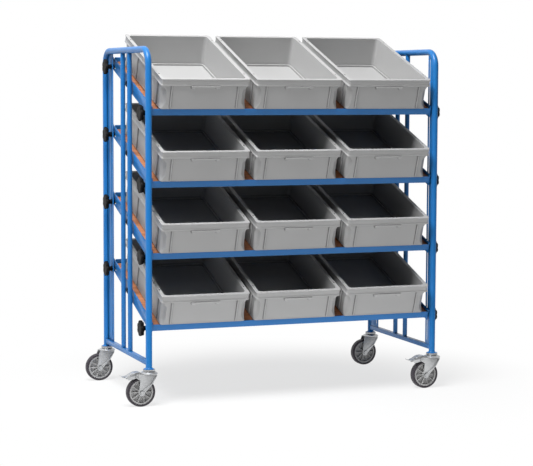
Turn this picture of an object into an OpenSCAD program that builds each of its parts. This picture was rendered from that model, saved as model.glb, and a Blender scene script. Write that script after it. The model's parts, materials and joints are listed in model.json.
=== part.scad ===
// Mobile bin cart: two hooped end frames on swivel castors, tilted shelves clamped
// between them by star knobs, and a row of open stacking bins on every shelf.
// Millimetres, +Z up, +X to the right, -Y towards the picker.
// The origin is on the floor, in the middle of the four posts.

/* [End frames] */
// Height of the top of the hoops
frame_top_z = 1539; // [1510:1:1700]
// Outside diameter of the hoop tube
tube_d = 28; // [26:0.1:32]
// Wall of the hoop tube
tube_wall = 2.6; // [1.5:0.1:3.5]
// Bend radius of the hoop, to the middle of the tube
bend_r = 65; // [50:1:80]
// Room between the top of a wheel and the foot of its post, for the castor's head
castor_room = 34; // [28:1:40]
// Diameter of the post collar
collar_d = 48; // [40:1:56]
// Height of the post collar
collar_h = 8; // [5:1:12]
// Side of the square foot bar
foot_bar = 20; // [15:1:25]
// Wall of the foot bar, a square tube
foot_wall = 2; // [1.5:0.5:4]
// Gap between the post collars and the foot bar
foot_bar_gap = 8; // [3:1:20]
// Diameter of the two infill bars in each end frame
infill_d = 21.3; // [16:0.1:25]
// Wall of the infill bars
infill_wall = 2; // [1.5:0.5:4]
// Distance between the two infill bars
infill_pitch = 106; // [80:1:140]
// Diameter of the hook holes drilled through the infill bars
hook_d = 6; // [4:0.5:8]
// Distance from one hook hole to the next
hook_pitch = 110; // [80:1:160]
// Distance of a front plate's slot behind the front post's axis
front_slot = 41; // [38:1:60]
// Distance of a rear plate's slot ahead of the rear post's axis
rear_slot = 80; // [40:1:90]
// Metal of a front plate beyond the middle of its slot
front_edge = 14; // [12:1:30]
// Metal of a rear plate beyond the middle of its slot
rear_edge = 22; // [12:1:30]
// Thickness of a slotted plate
plate_t = 4; // [3:0.5:6]
// Distance of the middle of the plate inboard of the post's axis
plate_inset = 6; // [4:0.5:8]
// Width of the slot
slot_w = 10; // [9:0.5:12]
// Solid metal left below and above the slot
slot_end = 20; // [15:1:40]

/* [Shelves] */
// Number of shelves
tier_count = 4; // [2:1:4]
// Height of the top shelf's deck at its front edge
top_shelf_z = 1267; // [1240:1:1290]
// Drop from one shelf to the next
tier_pitch = 308; // [290:1:310]
// Slope of the shelves, down to the front, in degrees
shelf_tilt = 19.6; // [15:0.1:21]
// Depth of deck left bare behind the bins, along the slope
shelf_spare = 42; // [36:1:80]
// Gap between the outer bins and the shelf's side rails
bin_side_gap = 24; // [10:1:40]
// Gap between the posts and the shelf's side rails
post_gap = 1; // [0.8:0.1:4]
// Thickness of the wooden deck
deck_t = 10; // [8:1:16]
// Thickness of the front and rear rails
rail_t = 4; // [3:0.5:6]
// Height of the side rails' lips above the deck
side_lip = 14; // [6:1:20]
// Height of the front rail's lip above the deck
front_lip = 5; // [2:0.5:6]
// Height of the rear rail's lip above the deck
rear_lip = 20; // [10:1:30]
// Depth of the front rail below the top of the deck
rail_drop = 24; // [20:1:30]
// Thickness of the ledge that carries the deck
ledge_t = 3; // [2:0.5:5]
// Width of the ledge that carries the deck
ledge_w = 26; // [15:1:35]
// Thickness of the side rails
side_t = 5; // [3:0.5:8]
// Metal left round the clamp slot in a side rail
side_edge = 8; // [6:0.5:14]
// Diameter of the brace tube under the deck
brace_d = 25; // [18:1:25]
// Wall of the brace tube
brace_wall = 2; // [1.5:0.5:4]
// Distance of the brace tube from the front rail
brace_at = 394; // [250:1:420]

/* [Clamps] */
// Diameter of the clamp studs
stud_d = 8; // [6:0.5:8]
// Gap between the deck's ledge and the clamp nuts
clamp_gap = 2; // [1.5:0.5:5]
// Distance of the front clamps behind the front of the shelf, along the slope
clamp_front_in = 28; // [24:1:90]
// Distance of the rear clamps ahead of the rear of the shelf, along the slope
clamp_rear_in = 9; // [8:1:20]
// Diameter of a star knob
knob_d = 63; // [50:1:70]
// Thickness of a star knob
knob_h = 15; // [12:1:28]
// Number of finger hollows round a star knob
knob_lobes = 7; // [5:1:9]
// Radius of a finger hollow
knob_hollow_r = 11; // [8:0.5:14]
// Diameter of the boss under a star knob
knob_boss_d = 21; // [16:0.5:24]
// Length of the boss under a star knob
knob_boss_h = 20; // [14:1:30]
// Diameter of the thrust washer under a rear knob
washer_d = 24; // [20:1:34]
// Thickness of the thrust washer
washer_t = 3; // [2:0.5:4]
// Diameter of the spacer bush between a plate and a side rail
bush_d = 20; // [16:0.5:26]
// Width across the corners of a clamp nut
nut_d = 15; // [13:0.5:18]
// Thickness of a clamp nut
nut_t = 7; // [5:0.5:14]
// How far the rear end of a shelf can be lowered, in degrees of tilt
tilt_down = 7; // [3:0.5:8]
// How far the rear end of a shelf can be raised, in degrees of tilt
tilt_up = 3; // [1:0.5:4]

/* [Bins] */
// Number of bins on a shelf
bins_per_shelf = 3; // [1:1:3]
// Gap between one bin and the next
bin_gap = 29; // [5:1:40]
// Width of a bin over its rim
bin_w = 400; // [300:1:450]
// Depth of a bin over its rim
bin_d = 600; // [500:1:650]
// Height of a bin
bin_h = 142.5; // [120:0.5:160]
// How far the bin's rim stands ahead of the shelf's front rail
bin_ahead = 10; // [4:1:12]
// Wall of a bin
bin_wall = 3; // [2:0.5:4]
// Floor of a bin
bin_floor = 4; // [3:0.5:5]
// Width of the flange round the top of a bin
rim_w = 17; // [14:1:22]
// Height of the band round the top of a bin
rim_h = 33; // [24:1:40]
// Thickness of the flange
flange_t = 4; // [3:0.5:5]
// Radius of the rim's corners
rim_r = 20; // [16:1:26]
// Height of the stacking foot
foot_h = 8; // [7:0.5:12]
// Step from the bin's wall in to the stacking foot
foot_step = 8; // [5:0.5:12]
// Radius of the hollow flute down each corner
flute_r = 12; // [8:0.5:14]
// Height above the base where the corner flutes start to open
flute_z = 14; // [12:0.5:20]
// Height over which a corner flute opens to its full radius
flute_run = 14; // [8:0.5:24]
// Width of the grip lip under the rim
grip_w = 140; // [100:1:160]
// Height of the grip lip between its end tabs
grip_h = 6; // [4:0.5:9]
// Height of the grip lip's end tabs
tab_h = 11; // [10:0.5:14]
// Width of a stiffening rib
rib_w = 4; // [3:0.5:6]
// Distance of the end ribs from the corners of the bin
rib_in = 50; // [40:1:70]
// Number of stiffening ribs down each long side
side_ribs = 4; // [2:1:6]

/* [Castors] */
// Diameter of a castor wheel
wheel_d = 125; // [120:1:126]
// Width of a castor wheel's tyre
wheel_w = 32; // [26:1:36]
// Thickness of the tyre
tyre_t = 9.5; // [8:0.5:16]
// Distance of the wheel's axle behind the swivel axis
trail = 38; // [32:1:44]
// Diameter of the axle
axle_d = 10; // [8:0.5:12]
// Thickness of the fork's sheet
fork_t = 3; // [2.5:0.5:4]
// Gap between the tyre and the fork
fork_gap = 4; // [3:0.5:6]
// Diameter of the castor's pressed head
head_d = 76; // [70:1:84]
// Diameter of the plate that bolts under the post
stem_plate_d = 52; // [46:1:60]
// Thickness of the plate that bolts under the post
stem_plate_t = 6; // [4:0.5:7]
// Length of the stem inside the post
stem_l = 40; // [20:1:60]
// Diameter of the king pin
king_d = 12; // [10:0.5:16]
// Thickness of the castor's head
head_t = 12; // [8:0.5:13]
// Number of ribs on each face of a wheel
wheel_ribs = 10; // [6:1:14]
// Reach of the brake pedal from the swivel axis
pedal_reach = 125; // [110:1:140]
// Thickness of the brake pedal's sheet
pedal_t = 2.4; // [2:0.2:2.8]

/* [Fits] */
// Gap between pieces that move on each other
running = 0.3; // [0.2:0.05:0.5]
// Gap between pieces that are pressed or laid together
seat = 0.1; // [0.05:0.05:0.2]

/* [Hidden] */
$fn = 48;
CORNERS = ["front_left", "rear_left", "front_right", "rear_right"];
BRAKED = ["front_left", "front_right"];
TIERS = [1 : tier_count];
BINS = [1 : bins_per_shelf];
BLUE = [0.14, 0.42, 0.74];
ZINC = [0.78, 0.79, 0.80];
GREY = [0.62, 0.63, 0.63];
BLACK = [0.06, 0.06, 0.06];
WOOD = [0.72, 0.42, 0.27];
TYRE = [0.20, 0.19, 0.20];

// Shelf, derived. A shelf's own axes run across, up the slope and square to the deck
bin_pitch = bin_w + bin_gap;
side_in_x = (bins_per_shelf * bin_pitch - bin_gap) / 2 + bin_side_gap;
side_out_x = side_in_x + side_t;
shelf_depth = bin_d - bin_ahead + shelf_spare;
ledge_z = -deck_t - ledge_t;
clamp_drop = clamp_gap + nut_d / 2 - ledge_z;
clamp_s_front = clamp_front_in;
clamp_s_rear = shelf_depth - clamp_rear_in;
clamp_run = (clamp_s_rear - clamp_s_front) * cos(shelf_tilt);
post_y = (clamp_run + front_slot + rear_slot) / 2;
front_clamp_y = front_slot - post_y;
rear_clamp_y = post_y - rear_slot;
shelf_y = front_clamp_y - clamp_s_front * cos(shelf_tilt) - clamp_drop * sin(shelf_tilt);
stud_hole_r = stud_d / 2 + running;
// The rear stud slides along the side rail as the slope changes
slide_in = clamp_run * (1 / cos(shelf_tilt) - 1 / cos(shelf_tilt - tilt_down)) + stud_d;
slide_out = clamp_run * (1 / cos(shelf_tilt + tilt_up) - 1 / cos(shelf_tilt)) + stud_d / 2 + 2;
slide_w = stud_d + 4;
side_drop = clamp_drop + slide_w / 2 + side_edge;
side_l = max(shelf_depth, clamp_s_rear + slide_out + slide_w / 2) + side_edge;
function shelf_z(k) = top_shelf_z - (k - 1) * tier_pitch;
function clamp_z(k, s) = shelf_z(k) + s * sin(shelf_tilt) - clamp_drop * cos(shelf_tilt);

// End frame, derived. The posts stand where the shelf's clamps and side rails put them
tube_r = tube_d / 2;
plate_out = plate_inset - plate_t / 2;
plate_in = plate_inset + plate_t / 2;
post_x = side_out_x + post_gap + tube_r;
side_gap = post_gap + tube_r - plate_in;
collar_z = wheel_d + castor_room;
foot_bar_z = collar_z + collar_h + foot_bar_gap;
foot_top_z = foot_bar_z + foot_bar;
foot_bore = foot_bar - 2 * foot_wall;
top_axis_z = frame_top_z - tube_r;
bend_z = top_axis_z - bend_r;

// Bin, derived
body_w = bin_w - 2 * (rim_w - bin_wall);
body_d = bin_d - 2 * (rim_w - bin_wall);
body_r = rim_r - rim_w / 2;
band_z = bin_h - rim_h;
rib_proud = (rim_w - bin_wall) / 4;
function bin_x(b) = (b - (bins_per_shelf + 1) / 2) * bin_pitch;

// Castor, derived. A castor's own axes start at the foot of its swivel axis
wheel_r = wheel_d / 2;
rim_outer_r = wheel_r - tyre_t;
leg_in = wheel_w / 2 + fork_gap;
leg_out = leg_in + fork_t;
stem_z = collar_z - stem_plate_t;
head_top_z = stem_z - running;
head_z = head_top_z - head_t;
pedal_x = -(trail + 18);
pedal_z = head_z - 5;
pedal_pin_r = 3;
hub_r = axle_d / 2 + 9;

// A rectangle with round corners
module round_rect(w, d, r) {
    square([w - 2 * r, d], center = true);
    square([w, d - 2 * r], center = true);
    for (x = [-1, 1])
        for (y = [-1, 1])
            translate([x * (w / 2 - r), y * (d / 2 - r)])
                circle(r);
}

// An outline drawn in Y and Z, given a thickness along X from x0 to x1
module across(x0, x1) {
    translate([x0, 0, 0])
        rotate([90, 0, 90])
            linear_extrude(x1 - x0)
                children();
}

// An upright cylinder between two heights
module upright(z0, z1, r) {
    translate([0, 0, z0])
        cylinder(h = z1 - z0, r = r);
}

// A rod along X between two places
module rod_x(x0, x1, r) {
    translate([x0, 0, 0])
        rotate([0, 90, 0])
            cylinder(h = x1 - x0, r = r);
}

// A rod along Y between two places
module rod_y(y0, y1, r) {
    translate([0, y0, 0])
        rotate([-90, 0, 0])
            cylinder(h = y1 - y0, r = r);
}

// The same thing at both ends, with local +X pointing outboard from the post's axis
module at_end(side) {
    if (side == "right")
        translate([post_x, 0, 0])
            children();
    else
        mirror([1, 0, 0])
            translate([post_x, 0, 0])
                children();
}

module at_both_ends() {
    at_end("left")
        children();
    at_end("right")
        children();
}

// One tube of the hoop's path, at a radius, closed at both feet
module hoop_path(r) {
    for (y = [-post_y, post_y])
        translate([0, y, 0])
            upright(collar_z, bend_z, r);
    translate([0, 0, top_axis_z])
        rod_y(-post_y + bend_r, post_y - bend_r, r);
    for (m = [0, 1])
        mirror([0, m, 0])
            translate([0, post_y - bend_r, bend_z])
                rotate([90, 0, 90])
                    rotate_extrude(angle = 90)
                        translate([bend_r, 0])
                            circle(r);
}

// Bent hoop with a flared collar at the foot of each post
module hoop(side) {
    color(BLUE)
        at_end(side)
            difference() {
                union() {
                    hoop_path(tube_r);
                    for (y = [-post_y, post_y])
                        translate([0, y, collar_z])
                            cylinder(h = collar_h, r1 = collar_d / 2, r2 = tube_r);
                }
                hoop_path(tube_r - tube_wall);
            }
}

// Two tubes that keep bins from sliding out sideways, drilled for hooks
module infill_bars(side) {
    hook_count = floor((bend_z - foot_top_z) / hook_pitch);
    color(BLUE)
        at_end(side)
            difference() {
                for (y = [-infill_pitch / 2, infill_pitch / 2])
                    translate([0, y, 0])
                        difference() {
                            upright(foot_top_z, top_axis_z, infill_d / 2);
                            upright(foot_top_z - 1, top_axis_z, infill_d / 2 - infill_wall);
                            for (i = [1 : hook_count])
                                translate([0, 0, foot_top_z + (i - 0.5) * hook_pitch])
                                    rod_x(-infill_d, infill_d, hook_d / 2);
                        }
                hoop_path(tube_r);
            }
}

// Outline of the area inside the hoop's axis, above the foot bar
module hoop_area() {
    translate([-post_y, foot_top_z])
        square([2 * post_y, bend_z - foot_top_z]);
    translate([bend_r - post_y, bend_z])
        square([2 * (post_y - bend_r), bend_r]);
    for (y = [bend_r - post_y, post_y - bend_r])
        translate([y, bend_z])
            circle(bend_r);
}

// Outline of a slotted plate at the rear post, cut to the hoop's bend
module slot_plate_outline(slot_at, edge) {
    slot_low = foot_top_z + slot_end;
    slot_high = top_axis_z - tube_r - slot_end;
    difference() {
        intersection() {
            translate([post_y - slot_at - edge, foot_top_z])
                square([slot_at + edge, top_axis_z - foot_top_z]);
            hoop_area();
        }
        translate([post_y - slot_at - slot_w / 2, slot_low])
            square([slot_w, slot_high - slot_low]);
        for (z = [slot_low, slot_high])
            translate([post_y - slot_at, z])
                circle(slot_w / 2);
    }
}

// The two plates that the shelves clamp to, a narrow one in front and a wide one at the rear
module slot_plates(side) {
    color(BLUE)
        at_end(side)
            difference() {
                union() {
                    across(-plate_in, -plate_out)
                        slot_plate_outline(rear_slot, rear_edge);
                    mirror([0, 1, 0])
                        across(-plate_in, -plate_out)
                            slot_plate_outline(front_slot, front_edge);
                }
                hoop_path(tube_r);
            }
}

// Square bar between the feet of the posts
module foot_bar_piece(side) {
    color(BLUE)
        at_end(side)
            difference() {
                translate([-foot_bar / 2, -post_y, foot_bar_z])
                    cube([foot_bar, 2 * post_y, foot_bar]);
                translate([foot_wall - foot_bar / 2, -post_y, foot_bar_z + foot_wall])
                    cube([foot_bore, 2 * post_y, foot_bore]);
                hoop_path(tube_r);
            }
}

// Places its children on a shelf's own axes
module on_shelf(k) {
    translate([0, shelf_y, shelf_z(k)])
        rotate([shelf_tilt, 0, 0])
            children();
}

// Outline of a rail: a wall from a depth up to a lip, and a ledge under the deck
module rail_outline(drop, lip) {
    translate([0, -drop])
        square([rail_t, drop + lip]);
    translate([0, ledge_z])
        square([ledge_w, ledge_t]);
}

// Welded frame: front and rear rails, side rails, brace tube and clamp bosses
module shelf_frame(k) {
    color(BLUE)
        on_shelf(k)
            difference() {
                union() {
                    across(-side_in_x, side_in_x)
                        rail_outline(rail_drop, front_lip);
                    across(-side_in_x, side_in_x)
                        translate([shelf_depth, 0])
                            mirror([1, 0])
                                rail_outline(-ledge_z, rear_lip);
                    for (m = [0, 1])
                        mirror([m, 0, 0])
                            side_rail();
                    translate([0, brace_at, -deck_t - brace_d / 2])
                        rod_x(-side_in_x, side_in_x, brace_d / 2);
                }
                for (m = [0, 1])
                    mirror([m, 0, 0])
                        side_holes();
                translate([0, brace_at, -deck_t - brace_d / 2])
                    rod_x(-side_out_x - 1, side_out_x + 1, brace_d / 2 - brace_wall);
            }
}

// Right-hand side rail with its deck ledge and the boss of the front clamp
module side_rail() {
    translate([side_in_x, 0, -side_drop])
        cube([side_t, side_l, side_drop + side_lip]);
    translate([side_in_x - ledge_w, 0, ledge_z])
        cube([ledge_w, shelf_depth, ledge_t]);
    translate([0, clamp_s_front, -clamp_drop])
        rod_x(side_in_x, side_out_x + side_gap - running, bush_d / 2);
    translate([0, clamp_s_front, -clamp_drop])
        rod_x(side_in_x - nut_t, side_in_x, nut_d / 2);
}

// Hole for the front stud and slot for the rear stud, through the right-hand side rail
module side_holes() {
    translate([0, clamp_s_front, -clamp_drop])
        rod_x(side_in_x - 2 * nut_t, side_out_x + 2 * side_gap, stud_hole_r);
    translate([side_in_x - 1, clamp_s_rear - slide_in, -clamp_drop - slide_w / 2])
        cube([side_t + 2, slide_in + slide_out, slide_w]);
    for (s = [-slide_in, slide_out])
        translate([0, clamp_s_rear + s, -clamp_drop])
            rod_x(side_in_x - 1, side_out_x + 1, slide_w / 2);
}

// Wooden deck, dropped between the rails
module shelf_deck(k) {
    color(WOOD)
        on_shelf(k)
            translate([-side_in_x + seat, rail_t + seat, -deck_t])
                cube([2 * (side_in_x - seat), shelf_depth - 2 * (rail_t + seat), deck_t]);
}

// Star knob with its boss and stud, its boss ending at x0 from the post's axis
module star_knob(x0) {
    head_x = x0 + knob_boss_h;
    difference() {
        translate([head_x, 0, 0])
            rotate([0, 90, 0])
                rotate_extrude()
                    polygon([
                        [0, 0], [knob_d * 0.38, 0], [knob_d / 2, knob_h * 0.3],
                        [knob_d / 2, knob_h * 0.65], [knob_d * 0.4, knob_h * 0.95],
                        [knob_d * 0.2, knob_h], [0, knob_h]
                    ]);
        for (i = [0 : knob_lobes - 1])
            rotate([i * 360 / knob_lobes, 0, 0])
                translate([0, 0, knob_d / 2 + knob_hollow_r * 0.72])
                    rod_x(head_x - 1, head_x + knob_h + 1, knob_hollow_r);
    }
    rod_x(x0, head_x, knob_boss_d / 2);
    rod_x(side_in_x - nut_t - running - post_x, x0, stud_d / 2);
}

// Both front knobs of a shelf, on the axis that the shelf tilts about
module front_knobs(k) {
    color(BLACK)
        translate([0, front_clamp_y, clamp_z(k, clamp_s_front)])
            at_both_ends()
                star_knob(-plate_out + running);
}

// Both rear knobs of a shelf
module rear_knobs(k) {
    color(BLACK)
        translate([0, rear_clamp_y, clamp_z(k, clamp_s_rear)])
            at_both_ends()
                star_knob(-plate_out + washer_t + 2 * running);
}

// A ring round a rear stud
module clamp_ring(x0, x1, r) {
    difference() {
        rod_x(x0, x1, r);
        rod_x(x0 - 1, x1 + 1, stud_hole_r);
    }
}

// Thrust washer, spacer bush and nut of both rear clamps of a shelf
module rear_clamps(k) {
    rail_x = side_out_x - post_x;
    nut_x = side_in_x - post_x - running;
    color(ZINC)
        translate([0, rear_clamp_y, clamp_z(k, clamp_s_rear)])
            at_both_ends() {
                clamp_ring(-plate_out + running, -plate_out + running + washer_t, washer_d / 2);
                clamp_ring(rail_x + running, -plate_in - running, bush_d / 2);
                difference() {
                    rotate([90, 0, 90])
                        translate([0, 0, nut_x - nut_t])
                            cylinder(h = nut_t, r = nut_d / 2, $fn = 6);
                    rod_x(nut_x - nut_t - 1, nut_x + 1, stud_hole_r);
                }
            }
}

// Outline of the bin's inner wall, which bulges in behind each corner flute
module bin_inside() {
    difference() {
        round_rect(body_w - 2 * bin_wall, body_d - 2 * bin_wall, body_r);
        for (x = [-1, 1])
            for (y = [-1, 1])
                translate([x * body_w / 2, y * body_d / 2])
                    circle(flute_r + bin_wall);
    }
}

// Cutter for the hollow flutes down the bin's corners, pointed at the foot
module bin_flutes() {
    full_z = flute_z + flute_run;
    for (x = [-1, 1])
        for (y = [-1, 1])
            translate([x * body_w / 2, y * body_d / 2, 0]) {
                translate([0, 0, flute_z])
                    cylinder(h = flute_run, r1 = body_r * 0.4, r2 = flute_r);
                upright(full_z, bin_h - flange_t, flute_r);
            }
}

// Outline of the grip lip: a thin bar with a lower tab at each end
module grip_outline() {
    half = grip_w / 2;
    tab_w = 0.2 * grip_w;
    polygon([
        [-half, 0], [-half, -tab_h / 2], [-half + tab_w / 3, -tab_h], [-half + tab_w * 0.8, -tab_h],
        [-half + tab_w, -grip_h], [half - tab_w, -grip_h],
        [half - tab_w * 0.8, -tab_h], [half - tab_w / 3, -tab_h], [half, -tab_h / 2], [half, 0]
    ]);
}

// A bin standing on its base, in the middle of its own plan
module bin_shape() {
    foot_w = body_w - 2 * foot_step;
    foot_d = body_d - 2 * foot_step;
    rim_in_w = bin_w - 2 * rim_w;
    rim_in_d = bin_d - 2 * rim_w;
    step_z = foot_h + bin_floor;
    difference() {
        union() {
            linear_extrude(foot_h)
                round_rect(foot_w, foot_d, body_r);
            difference() {
                translate([0, 0, foot_h])
                    linear_extrude(bin_h - foot_h - flange_t)
                        round_rect(body_w, body_d, body_r);
                bin_flutes();
            }
            translate([0, 0, bin_h - flange_t])
                linear_extrude(flange_t)
                    round_rect(bin_w, bin_d, rim_r);
            bin_band();
            bin_ribs();
        }
        translate([0, 0, bin_floor])
            linear_extrude(bin_h)
                round_rect(foot_w - 2 * bin_wall, foot_d - 2 * bin_wall, body_r - bin_wall / 2);
        translate([0, 0, step_z])
            linear_extrude(bin_h)
                bin_inside();
    }
}

// Band that hangs from the flange round the top of a bin
module bin_band() {
    translate([0, 0, band_z])
        linear_extrude(rim_h)
            difference() {
                round_rect(bin_w, bin_d, rim_r);
                round_rect(bin_w - 2 * bin_wall, bin_d - 2 * bin_wall, rim_r - bin_wall);
            }
}

// Stiffening ribs and the grip lips, between the wall and the band
module bin_ribs() {
    rib_h = bin_h - flange_t - foot_h;
    end_x = bin_w / 2 - rib_in;
    end_y = body_d / 2 - rib_in;
    for (m = [0, 1])
        mirror([0, m, 0]) {
            for (x = [-end_x, end_x])
                translate([x - rib_w / 2, body_d / 2 - bin_wall / 2, foot_h])
                    cube([rib_w, rib_proud + bin_wall / 2, rib_h]);
            translate([0, bin_d / 2, band_z])
                rotate([90, 0, 0])
                    linear_extrude(rim_w - bin_wall / 2)
                        grip_outline();
            translate([-grip_w / 2, body_d / 2 - bin_wall / 2, band_z])
                cube([grip_w, rim_w - 2 * bin_wall, bin_wall]);
        }
    for (m = [0, 1])
        mirror([m, 0, 0])
            for (i = [0 : side_ribs - 1])
                translate([
                    body_w / 2 - bin_wall / 2,
                    -end_y + i * 2 * end_y / (side_ribs - 1) - rib_w / 2,
                    foot_h
                ])
                    cube([rib_proud + bin_wall / 2, rib_w, rib_h]);
}

// A bin in its place on a shelf
module bin(k, b) {
    color(GREY)
        on_shelf(k)
            translate([bin_x(b), bin_d / 2 - bin_ahead, running])
                bin_shape();
}

// Places its children at the foot of a castor's swivel axis
module at_corner(corner) {
    left = corner == "front_left" || corner == "rear_left";
    front = corner == "front_left" || corner == "front_right";
    translate([left ? -post_x : post_x, front ? -post_y : post_y, 0])
        children();
}

// Plate and stem that bolt each castor into its post, with the king pin below
module castor_stems() {
    king_foot = head_z - running;
    color(ZINC)
        for (c = CORNERS)
            at_corner(c) {
                upright(stem_z, collar_z, stem_plate_d / 2);
                upright(collar_z, collar_z + stem_l, tube_r - tube_wall - seat);
                upright(king_foot - 1, stem_z, king_d / 2);
                upright(king_foot - 4, king_foot, king_d / 2 + 4);
            }
}

// Outline of a fork leg, from the head down to the axle, with an ear where a pedal turns
module leg_outline(braked) {
    difference() {
        union() {
            polygon([
                [head_d / 2 - 8, head_z], [head_d / 2 - 8, head_z - head_t * 0.7],
                [head_d / 2 - 26, wheel_r + 38], [-trail + 13, wheel_r - 2], [-trail - 13, wheel_r - 2],
                [-trail - 7, head_z - 22], [-trail, head_z]
            ]);
            translate([-trail, wheel_r - 2])
                circle(13);
            if (braked)
                polygon([
                    [-trail, head_z - 30], [pedal_x - 8, head_z - 14], [pedal_x - 8, head_z + 3],
                    [pedal_x + 10, head_z + 3], [-trail + 8, head_z]
                ]);
        }
        translate([-trail, wheel_r])
            circle(axle_d / 2 + seat);
        if (braked)
            translate([pedal_x, pedal_z])
                circle(pedal_pin_r + running);
    }
}

// Outline of the head: a pressed flange that rises to the bearing race
module head_outline() {
    head_r = head_d / 2;
    race_r = stem_plate_d / 2 - 2;
    polygon([
        [0, head_z], [head_r, head_z], [head_r, head_z + fork_t], [head_r - 5, head_z + head_t * 0.5],
        [race_r + 1, head_z + head_t * 0.75], [race_r, head_top_z], [0, head_top_z]
    ]);
}

// Raised rib along the sloping edge of a fork leg
module leg_rib() {
    polygon([
        [head_d / 2 - 10, head_z - head_t * 0.7], [head_d / 2 - 16, head_z - head_t * 0.7],
        [head_d / 2 - 34, wheel_r + 36], [-trail + 3, wheel_r + 10], [-trail + 9, wheel_r + 8],
        [head_d / 2 - 28, wheel_r + 38]
    ]);
}

// Pressed fork: a head round the king pin and a leg either side of the wheel
module fork(corner) {
    braked = corner == "front_left" || corner == "front_right";
    color(ZINC)
        at_corner(corner)
            difference() {
                union() {
                    rotate_extrude()
                        head_outline();
                    translate([-trail + 8, -leg_out, head_z])
                        cube([trail - 16 + head_d / 2, 2 * leg_out, fork_t]);
                    for (y = [leg_out, -leg_in])
                        translate([0, y, 0])
                            rotate([90, 0, 0])
                                linear_extrude(fork_t)
                                    leg_outline(braked);
                    for (y = [leg_out + fork_t / 2, -leg_out + fork_t / 2])
                        translate([0, y, 0])
                            rotate([90, 0, 0])
                                linear_extrude(fork_t)
                                    leg_rib();
                }
                upright(head_z - 1, head_top_z + 1, king_d / 2 + running);
            }
}

// Places its children on a wheel's axle
module on_axle(corner) {
    at_corner(corner)
        translate([-trail, 0, wheel_r])
            children();
}

// Axle bolt with its head and nut
module axle(corner) {
    head_h = 6;
    color(ZINC)
        on_axle(corner) {
            rod_y(-leg_out - 1, leg_out + head_h + 3, axle_d / 2);
            for (y = [-leg_out - head_h, leg_out])
                translate([0, y, 0])
                    rotate([-90, 0, 0])
                        cylinder(h = head_h, r = axle_d * 0.85, $fn = 6);
        }
}

// Moulded wheel centre with a web and radial ribs
module wheel(corner) {
    felloe_t = 7;
    rib_t = 3;
    color(GREY)
        on_axle(corner)
            rotate([90, 0, 0])
                difference() {
                    union() {
                        cylinder(h = 2 * (leg_in - 0.5), r = hub_r, center = true);
                        cylinder(h = 6, r = rim_outer_r - felloe_t / 2, center = true);
                        difference() {
                            cylinder(h = wheel_w - 4, r = rim_outer_r - seat, center = true);
                            cylinder(h = wheel_w, r = rim_outer_r - felloe_t, center = true);
                        }
                        for (i = [0 : wheel_ribs - 1])
                            rotate([0, 0, i * 360 / wheel_ribs])
                                translate([hub_r - 1, -rib_t / 2, -wheel_w / 2 + 4])
                                    cube([rim_outer_r - felloe_t / 2 - hub_r, rib_t, wheel_w - 8]);
                    }
                    cylinder(h = 2 * leg_out, r = axle_d / 2 + running, center = true);
                }
}

// Tyre with rounded shoulders
module tyre(corner) {
    half = wheel_w / 2;
    color(TYRE)
        on_axle(corner)
            rotate([90, 0, 0])
                rotate_extrude()
                    polygon([
                        [rim_outer_r, -half], [wheel_r - 6, -half], [wheel_r - 2, -half + 3],
                        [wheel_r, -half + 8], [wheel_r, half - 8], [wheel_r - 2, half - 3],
                        [wheel_r - 6, half], [rim_outer_r, half]
                    ]);
}

// Side view of the pedal's arched sheet, from behind the pin out to the turned-up tip
module pedal_arch() {
    tip = -pedal_reach - pedal_x;
    t = pedal_t;
    polygon([
        [12, 14], [0, 15.5], [-13, 13.5], [-26, 8.5], [tip * 0.58, 0], [tip * 0.76, -4.5], [tip * 0.88, -4], [tip, 0],
        [tip, -t], [tip * 0.9, -4 - t], [tip * 0.74, -4.5 - t], [tip * 0.56, -t], [-25, 8.5 - t],
        [-12.5, 13.5 - t], [0, 15.5 - t], [12, 14 - t]
    ]);
}

// Side view of the cheek under the arch, round the pin
module pedal_cheek() {
    tip = -pedal_reach - pedal_x;
    polygon([
        [12, 14 - pedal_t], [9, -5], [-4, -10], [-22, -15], [tip * 0.58, -18], [tip * 0.67, -9],
        [tip * 0.66, -2.5], [tip * 0.56, -pedal_t / 2], [-25.5, 8.5 - pedal_t / 2], [-12.5, 13.5 - pedal_t / 2],
        [0, 15.5 - pedal_t / 2]
    ]);
}

// Pedal that locks the wheel: an arched sheet with cheeks, turning on a pin between the fork's legs
module pedal(corner) {
    cheek_out = leg_in - running;
    color(ZINC)
        at_corner(corner)
            translate([pedal_x, 0, pedal_z]) {
                rod_y(-leg_out, leg_out, pedal_pin_r);
                rotate([90, 0, 0])
                    linear_extrude(2 * cheek_out, center = true)
                        pedal_arch();
                for (y = [cheek_out, -cheek_out + pedal_t])
                    translate([0, y, 0])
                        rotate([90, 0, 0])
                            linear_extrude(pedal_t)
                                pedal_cheek();
            }
}

hoop("left");  // left_hoop
hoop("right");  // right_hoop
infill_bars("left");  // left_infill_bars
infill_bars("right");  // right_infill_bars
slot_plates("left");  // left_slot_plates
slot_plates("right");  // right_slot_plates
foot_bar_piece("left");  // left_foot_bar
foot_bar_piece("right");  // right_foot_bar
castor_stems();
for (k = TIERS) shelf_frame(k);
for (k = TIERS) shelf_deck(k);
for (k = TIERS) front_knobs(k);
for (k = TIERS) rear_knobs(k);
for (k = TIERS) rear_clamps(k);
for (k = TIERS, b = BINS) bin(k, b);
for (c = CORNERS) fork(c);
for (c = CORNERS) axle(c);
for (c = CORNERS) wheel(c);
for (c = CORNERS) tyre(c);
for (c = BRAKED) pedal(c);
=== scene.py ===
# %% [markdown]
# # A mobile bin cart
# The real object is a picking cart from a warehouse. Two hoops of blue tube stand on swivel
# castors. Tilted shelves are clamped between them, and grey stacking bins stand on the shelves.
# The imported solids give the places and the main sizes, so this lesson starts by loading them.

# %% Load the solids
import json
import math

import bmesh
import bpy
from mathutils import Matrix, Vector


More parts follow.
